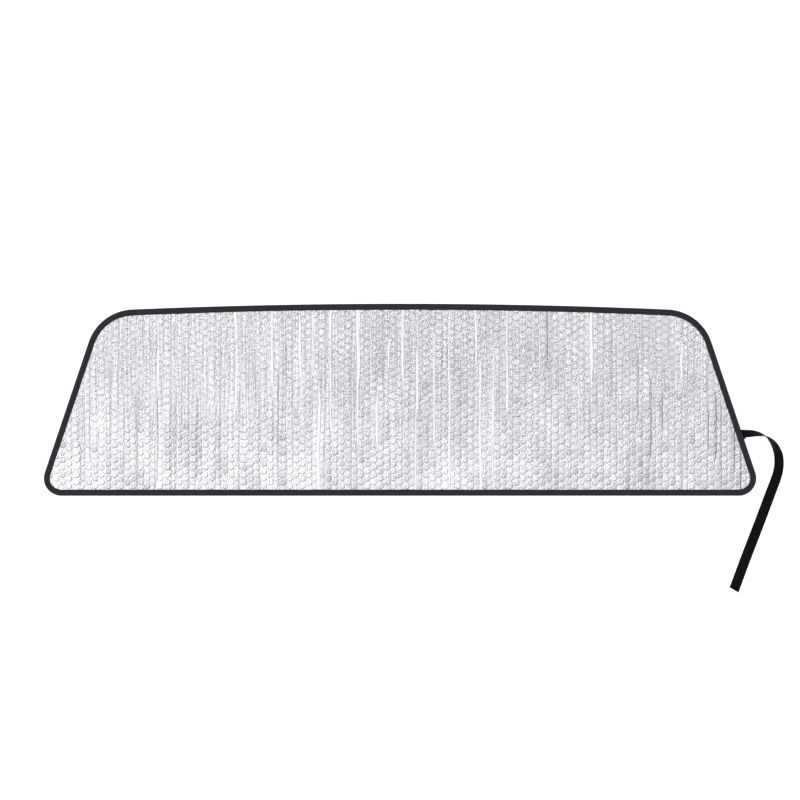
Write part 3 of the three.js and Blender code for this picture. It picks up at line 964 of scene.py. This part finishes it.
# its route past the edge, as [x, y, turn of its width], in millimetres and degrees
strapRoute = [
    (0, 0, 0), (2.5, 0.9, 24), (5.5, 1.6, 39), (9, 1.9, 43), (13, 2, 45), (18, 1.9, 50), (24.6, 1.5, 59),
    (30.5, 0.5, 68), (36.2, -1, 78), (42.6, -2.8, 92), (49.1, -7.2, 110), (55.2, -12.9, 123),
    (61.6, -21.4, 138), (66.1, -30.2, 148), (69.5, -40.6, 160), (70.7, -51.7, 165), (70.3, -61.8, 167),
    (68.3, -74.3, 170), (63.3, -90.2, 174), (56.4, -108.7, 178), (49.3, -127.8, 180), (34.7, -166.6, 180),
    (19.8, -205.4, 180), (5, -244.1, 180), (-16.1, -301.2, 180),
]
strapExit = np.array([sharpLowX - strap["exitHeight"] * math.tan(lean), -halfHeight + strap["exitHeight"]])


def strapLine():
    # centre points of the strap and its turn at each, on one smooth curve through the route
    back = np.array([strap["sewn"], strap["sewn"] / 2])[:, None] * -sideOut
    free = np.array(strapRoute, float)
    flat = np.vstack([back, free[:, :2] * mm])
    turn = np.radians(np.concatenate([[0, 0], free[:, 2]]))
    knots = np.column_stack([flat, turn])
    ends = np.vstack([2 * knots[0] - knots[1], knots, 2 * knots[-1] - knots[-2]])
    slopes = (ends[2:] - ends[:-2]) / 2
    line = []
    for k in range(len(knots) - 1):
        # a smooth cubic between two knots
        for share in np.arange(strap["stepsPerStretch"]) / strap["stepsPerStretch"]:
            s2, s3 = share ** 2, share ** 3
            line.append((2 * s3 - 3 * s2 + 1) * knots[k] + (s3 - 2 * s2 + share) * slopes[k]
                        + (3 * s2 - 2 * s3) * knots[k + 1] + (s3 - s2) * slopes[k + 1])
    return np.vstack([line, knots[-1]])


def strapFrames():
    line = strapLine()
    turn = np.clip(line[:, 2], 0, math.pi)
    heading = np.gradient(line[:, :2], axis=0)
    heading /= np.linalg.norm(heading, axis=1, keepdims=True)
    across = np.column_stack([-heading[:, 1] * np.cos(turn), heading[:, 0] * np.cos(turn), np.sin(turn)])
    ahead = np.column_stack([heading, np.zeros(len(line))])
    face = np.cross(ahead, across)
    lift = (strap["width"] * np.sin(turn) + strap["thickness"] * np.abs(np.cos(turn))) / 2
    seamLift = strap["rootBottom"] * np.maximum(np.cos(turn), 0)
    centre = np.column_stack([line[:, :2] + strapExit, lift + seamLift])
    return centre, ahead, across, face


def strapSection():
    # [across, up] round the strap: ribs on both faces, and rounded selvages
    half = strap["width"] / 2
    steps = strap["stepsPerRib"] * strap["ribs"]
    wide = np.linspace(strap["selvage"] - half, half - strap["selvage"], steps + 1)
    ribbed = 1 - np.abs(np.cos(math.pi * strap["ribs"] * (wide + half) / strap["width"]))
    up = strap["thickness"] / 2 - strap["ribDepth"] * ribbed
    top = list(zip(wide, up))
    cornerIn, cornerUp = strap["selvageCorner"]
    turned = [(half - cornerIn, cornerUp), (half, 0), (half - cornerIn, -cornerUp)]
    return np.array(top[::-1] + [(-w, u) for w, u in turned] + [(w, -u) for w, u in top]
                    + [(w, -u) for w, u in turned])


def buildStrap():
    centre, ahead, across, face = strapFrames()
    section = strapSection()
    runs = np.concatenate([[0], np.cumsum(np.linalg.norm(np.diff(centre, axis=0), axis=1))])
    points = centre[:, None] + section[:, :1] * across[:, None] + section[:, 1:] * face[:, None]
    points[-1] -= section[:, :1] * math.tan(strap["endSlant"]) * ahead[-1]
    stations, sides = points.shape[:2]
    weave = np.zeros(points.shape)
    weave[..., 0] = runs[:, None]
    weave[..., 1] = section[None, :, 0] + strap["weaveShift"]
    faces = ringFaces(stations, sides).tolist()
    faces.append(list(range(sides)))
    faces.append(list(range(stations * sides - 1, (stations - 1) * sides - 1, -1)))
    return points.reshape(-1, 3), faces, weave.reshape(-1, 3), centre, runs


strapPoints, strapFaces, strapWeave, strapCentre, strapRuns = buildStrap()
closingStrap = addMesh("closing_strap", strapPoints, strapFaces, {"weave": strapWeave})
closingStrap.data.materials.append(wovenMaterial("ribbed webbing", strap))
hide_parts("closure_strap")
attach(closingStrap, "root")
exitAt = int(np.abs(strapRuns - strap["sewn"]).argmin())
print("closing strap:", round(float(strapRuns[-1]), 4), "m")

# Seam: one row of stitches on each face
stitch = {
    "spacing": 4 * mm,
    "length": 3.3 * mm,
    "radius": 0.26 * mm,
    # its form as [place along it, thickness there], in shares of the two above
    "form": [(-0.5, 0.35), (-0.38, 0.85), (-0.12, 1), (0.12, 1), (0.38, 0.85), (0.5, 0.35)],
    "sides": 6,
    "sink": 0.08 * mm,
    "strapEase": 1.5 * mm,       # over which the under thread dips beneath the strap
    "colour": (0.022, 0.021, 0.024),
    "darkest": 0.8,
    "lightest": 1.3,
    "twistScale": 2500,
    "twistDepth": 0.04 * mm,
    "roughness": 0.55,
}


def buildStitches(heightAt):
    count = int(edgeLength / stitch["spacing"])
    middle = (np.arange(count) + 0.5) * edgeLength / count
    along, thick = np.array(stitch["form"]).T
    along = along * stitch["length"]
    angles = np.arange(stitch["sides"]) * 2 * math.pi / stitch["sides"]
    cornersEach = len(along) * stitch["sides"]
    points = []
    faces = []
    tube = ringFaces(len(along), stitch["sides"]).tolist()
    tube.append(list(range(stitch["sides"])))
    tube.append(list(range(cornersEach - 1, cornersEach - stitch["sides"] - 1, -1)))
    for run in middle:
        flat, out = edgeAt(run + along, tape["seamInset"])
        height = heightAt(flat)
        start = len(points) * cornersEach
        offset = stitch["radius"] * thick[:, None] * np.cos(angles)[None, :]
        rise = stitch["radius"] * thick[:, None] * np.sin(angles)[None, :]
        block = np.concatenate([flat[:, None] + out[:, None] * offset[..., None],
                                (height[:, None] + rise)[..., None]], -1)
        points.append(block.reshape(-1, 3))
        faces += [[corner + start for corner in face] for face in tube]
    return np.concatenate(points), faces


def topSeamHeight(flat):
    return np.full(len(flat), tapeHigh[2] - stitch["sink"])


def underSeamHeight(flat):
    # under the tape, and lower still where it passes beneath the strap
    middle = strapExit - sideOut * tape["seamInset"]
    away = np.abs((flat - middle) @ sideUp)
    onStrap = 1 - smoothStep(strap["width"] / 2, strap["width"] / 2 + stitch["strapEase"], away)
    onStrap *= np.linalg.norm(flat - middle, axis=1) < 2 * strap["width"]
    return tapeLow[2] + stitch["sink"] - strap["thickness"] * onStrap


def threadMaterial():
    tree, shader, made = newMaterial("sewing thread")
    place = addNode(tree, "ShaderNodeTexCoord").outputs["Object"]
    twist = noiseAt(tree, place, (1, 1, 1), stitch["twistScale"], 2).outputs["Fac"]
    dark = tuple(stitch["darkest"] * part for part in stitch["colour"])
    light = tuple(stitch["lightest"] * part for part in stitch["colour"])
    tree.links.new(mixedColour(tree, twist, dark, light), shader.inputs["Base Color"])
    bump = addNode(tree, "ShaderNodeBump", {"Height": twist, "Distance": stitch["twistDepth"]})
    tree.links.new(bump.outputs[0], shader.inputs["Normal"])
    shader.inputs["Roughness"].default_value = stitch["roughness"]
    return made


threadFinish = threadMaterial()
for name, node, heightAt in [
    ("top_stitches", "seam_needle_thread", topSeamHeight),
    ("under_stitches", "seam_bobbin_thread", underSeamHeight),
]:
    piece = addMesh(name, *buildStitches(heightAt))
    piece.data.materials.append(threadFinish)
    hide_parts(node)
    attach(piece, "root")
print("seam stitched on both faces")


# Studio: pale floor, one soft key from the upper left, and a world that is brighter on that side
studio = {
    "floorSize": 30,
    "floorColour": (0.8, 0.8, 0.8),
    "floorGlow": 0.62,           # light that it adds where the camera or a mirror sees it
    "floorRoughness": 0.9,
    "keyPlace": (-3.6, 3.2, 5.0),
    "keySize": 2.2,
    "keyPower": 75,
    "brightWay": (-0.62, 0.52, 0.6),
    # how bright the surroundings are, from away from that way (0) to along it (1)
    "levels": [(0, 0.04), (0.4, 0.13), (0.6, 0.42), (0.8, 1.04), (0.9, 1.43), (1, 1.65)],
    "horizonLevels": (0.48, 0.72),  # the same, low down
    "horizon": (0.4, 0.6),       # heights between which the one gives way to the other, as sines
}


def buildFloor():
    size = studio["floorSize"] / 2
    corners = [(-size, -size, 0), (size, -size, 0), (size, size, 0), (-size, size, 0)]
    floor = addMesh("floor", corners, [(0, 1, 2, 3)])
    tree, shader, made = newMaterial("pale floor")
    shader.inputs["Base Color"].default_value = (*studio["floorColour"], 1)
    shader.inputs["Roughness"].default_value = studio["floorRoughness"]
    shader.inputs["Specular IOR Level"].default_value = 0
    light = addNode(tree, "ShaderNodeLightPath")
    seen = mathOf(tree, "MAXIMUM", light.outputs["Is Camera Ray"], light.outputs["Is Glossy Ray"])
    seen = mathOf(tree, "MAXIMUM", seen, light.outputs["Is Transmission Ray"])
    shader.inputs["Emission Color"].default_value = (1, 1, 1, 1)
    tree.links.new(mathOf(tree, "MULTIPLY", seen, studio["floorGlow"]), shader.inputs["Emission Strength"])
    floor.data.materials.append(made)


def buildLights():
    data = bpy.data.lights.new("key", "AREA")
    data.size = studio["keySize"]
    data.energy = studio["keyPower"]
    key = bpy.data.objects.new("key", data)
    key.location = studio["keyPlace"]
    aim = -key.location
    key.rotation_euler = aim.to_track_quat("-Z", "Y").to_euler()
    key.visible_glossy = False
    bpy.context.scene.collection.objects.link(key)


def buildWorld():
    world = bpy.data.worlds.new("studio")
    world.use_nodes = True
    tree = world.node_tree
    tree.nodes.clear()
    way = addNode(tree, "ShaderNodeTexCoord").outputs["Generated"]
    share = mapped(tree, vectorOf(tree, "DOT_PRODUCT", way, studio["brightWay"]), -1, 1, 0, 1)
    ramp = addNode(tree, "ShaderNodeValToRGB", {0: share})
    stops = ramp.color_ramp.elements
    for place, _ in studio["levels"][1:-1]:
        stops.new(place)
    for stop, (place, level) in zip(stops, studio["levels"]):
        stop.position = place
        stop.color = (level, level, level, 1)
    height = addNode(tree, "ShaderNodeSeparateXYZ", {0: way}).outputs["Z"]
    lowDown = mapped(tree, height, *studio["horizon"], 1, 0)
    horizon = mapped(tree, share, 0, 1, *studio["horizonLevels"])
    brightness = addNode(tree, "ShaderNodeMix", {0: lowDown, 2: ramp.outputs["Color"], 3: horizon})
    around = addNode(tree, "ShaderNodeBackground", {"Color": brightness.outputs[0]})
    white = addNode(tree, "ShaderNodeBackground", {"Strength": 1.0})
    white.inputs["Color"].default_value = (1, 1, 1, 1)
    seen = addNode(tree, "ShaderNodeLightPath").outputs["Is Camera Ray"]
    mix = addNode(tree, "ShaderNodeMixShader", {0: seen, 1: around.outputs[0], 2: white.outputs[0]})
    out = addNode(tree, "ShaderNodeOutputWorld")
    tree.links.new(mix.outputs[0], out.inputs["Surface"])
    bpy.context.scene.world = world


buildFloor()
buildLights()
buildWorld()
bpy.context.scene.view_settings.view_transform = "Standard"
print("studio lit")
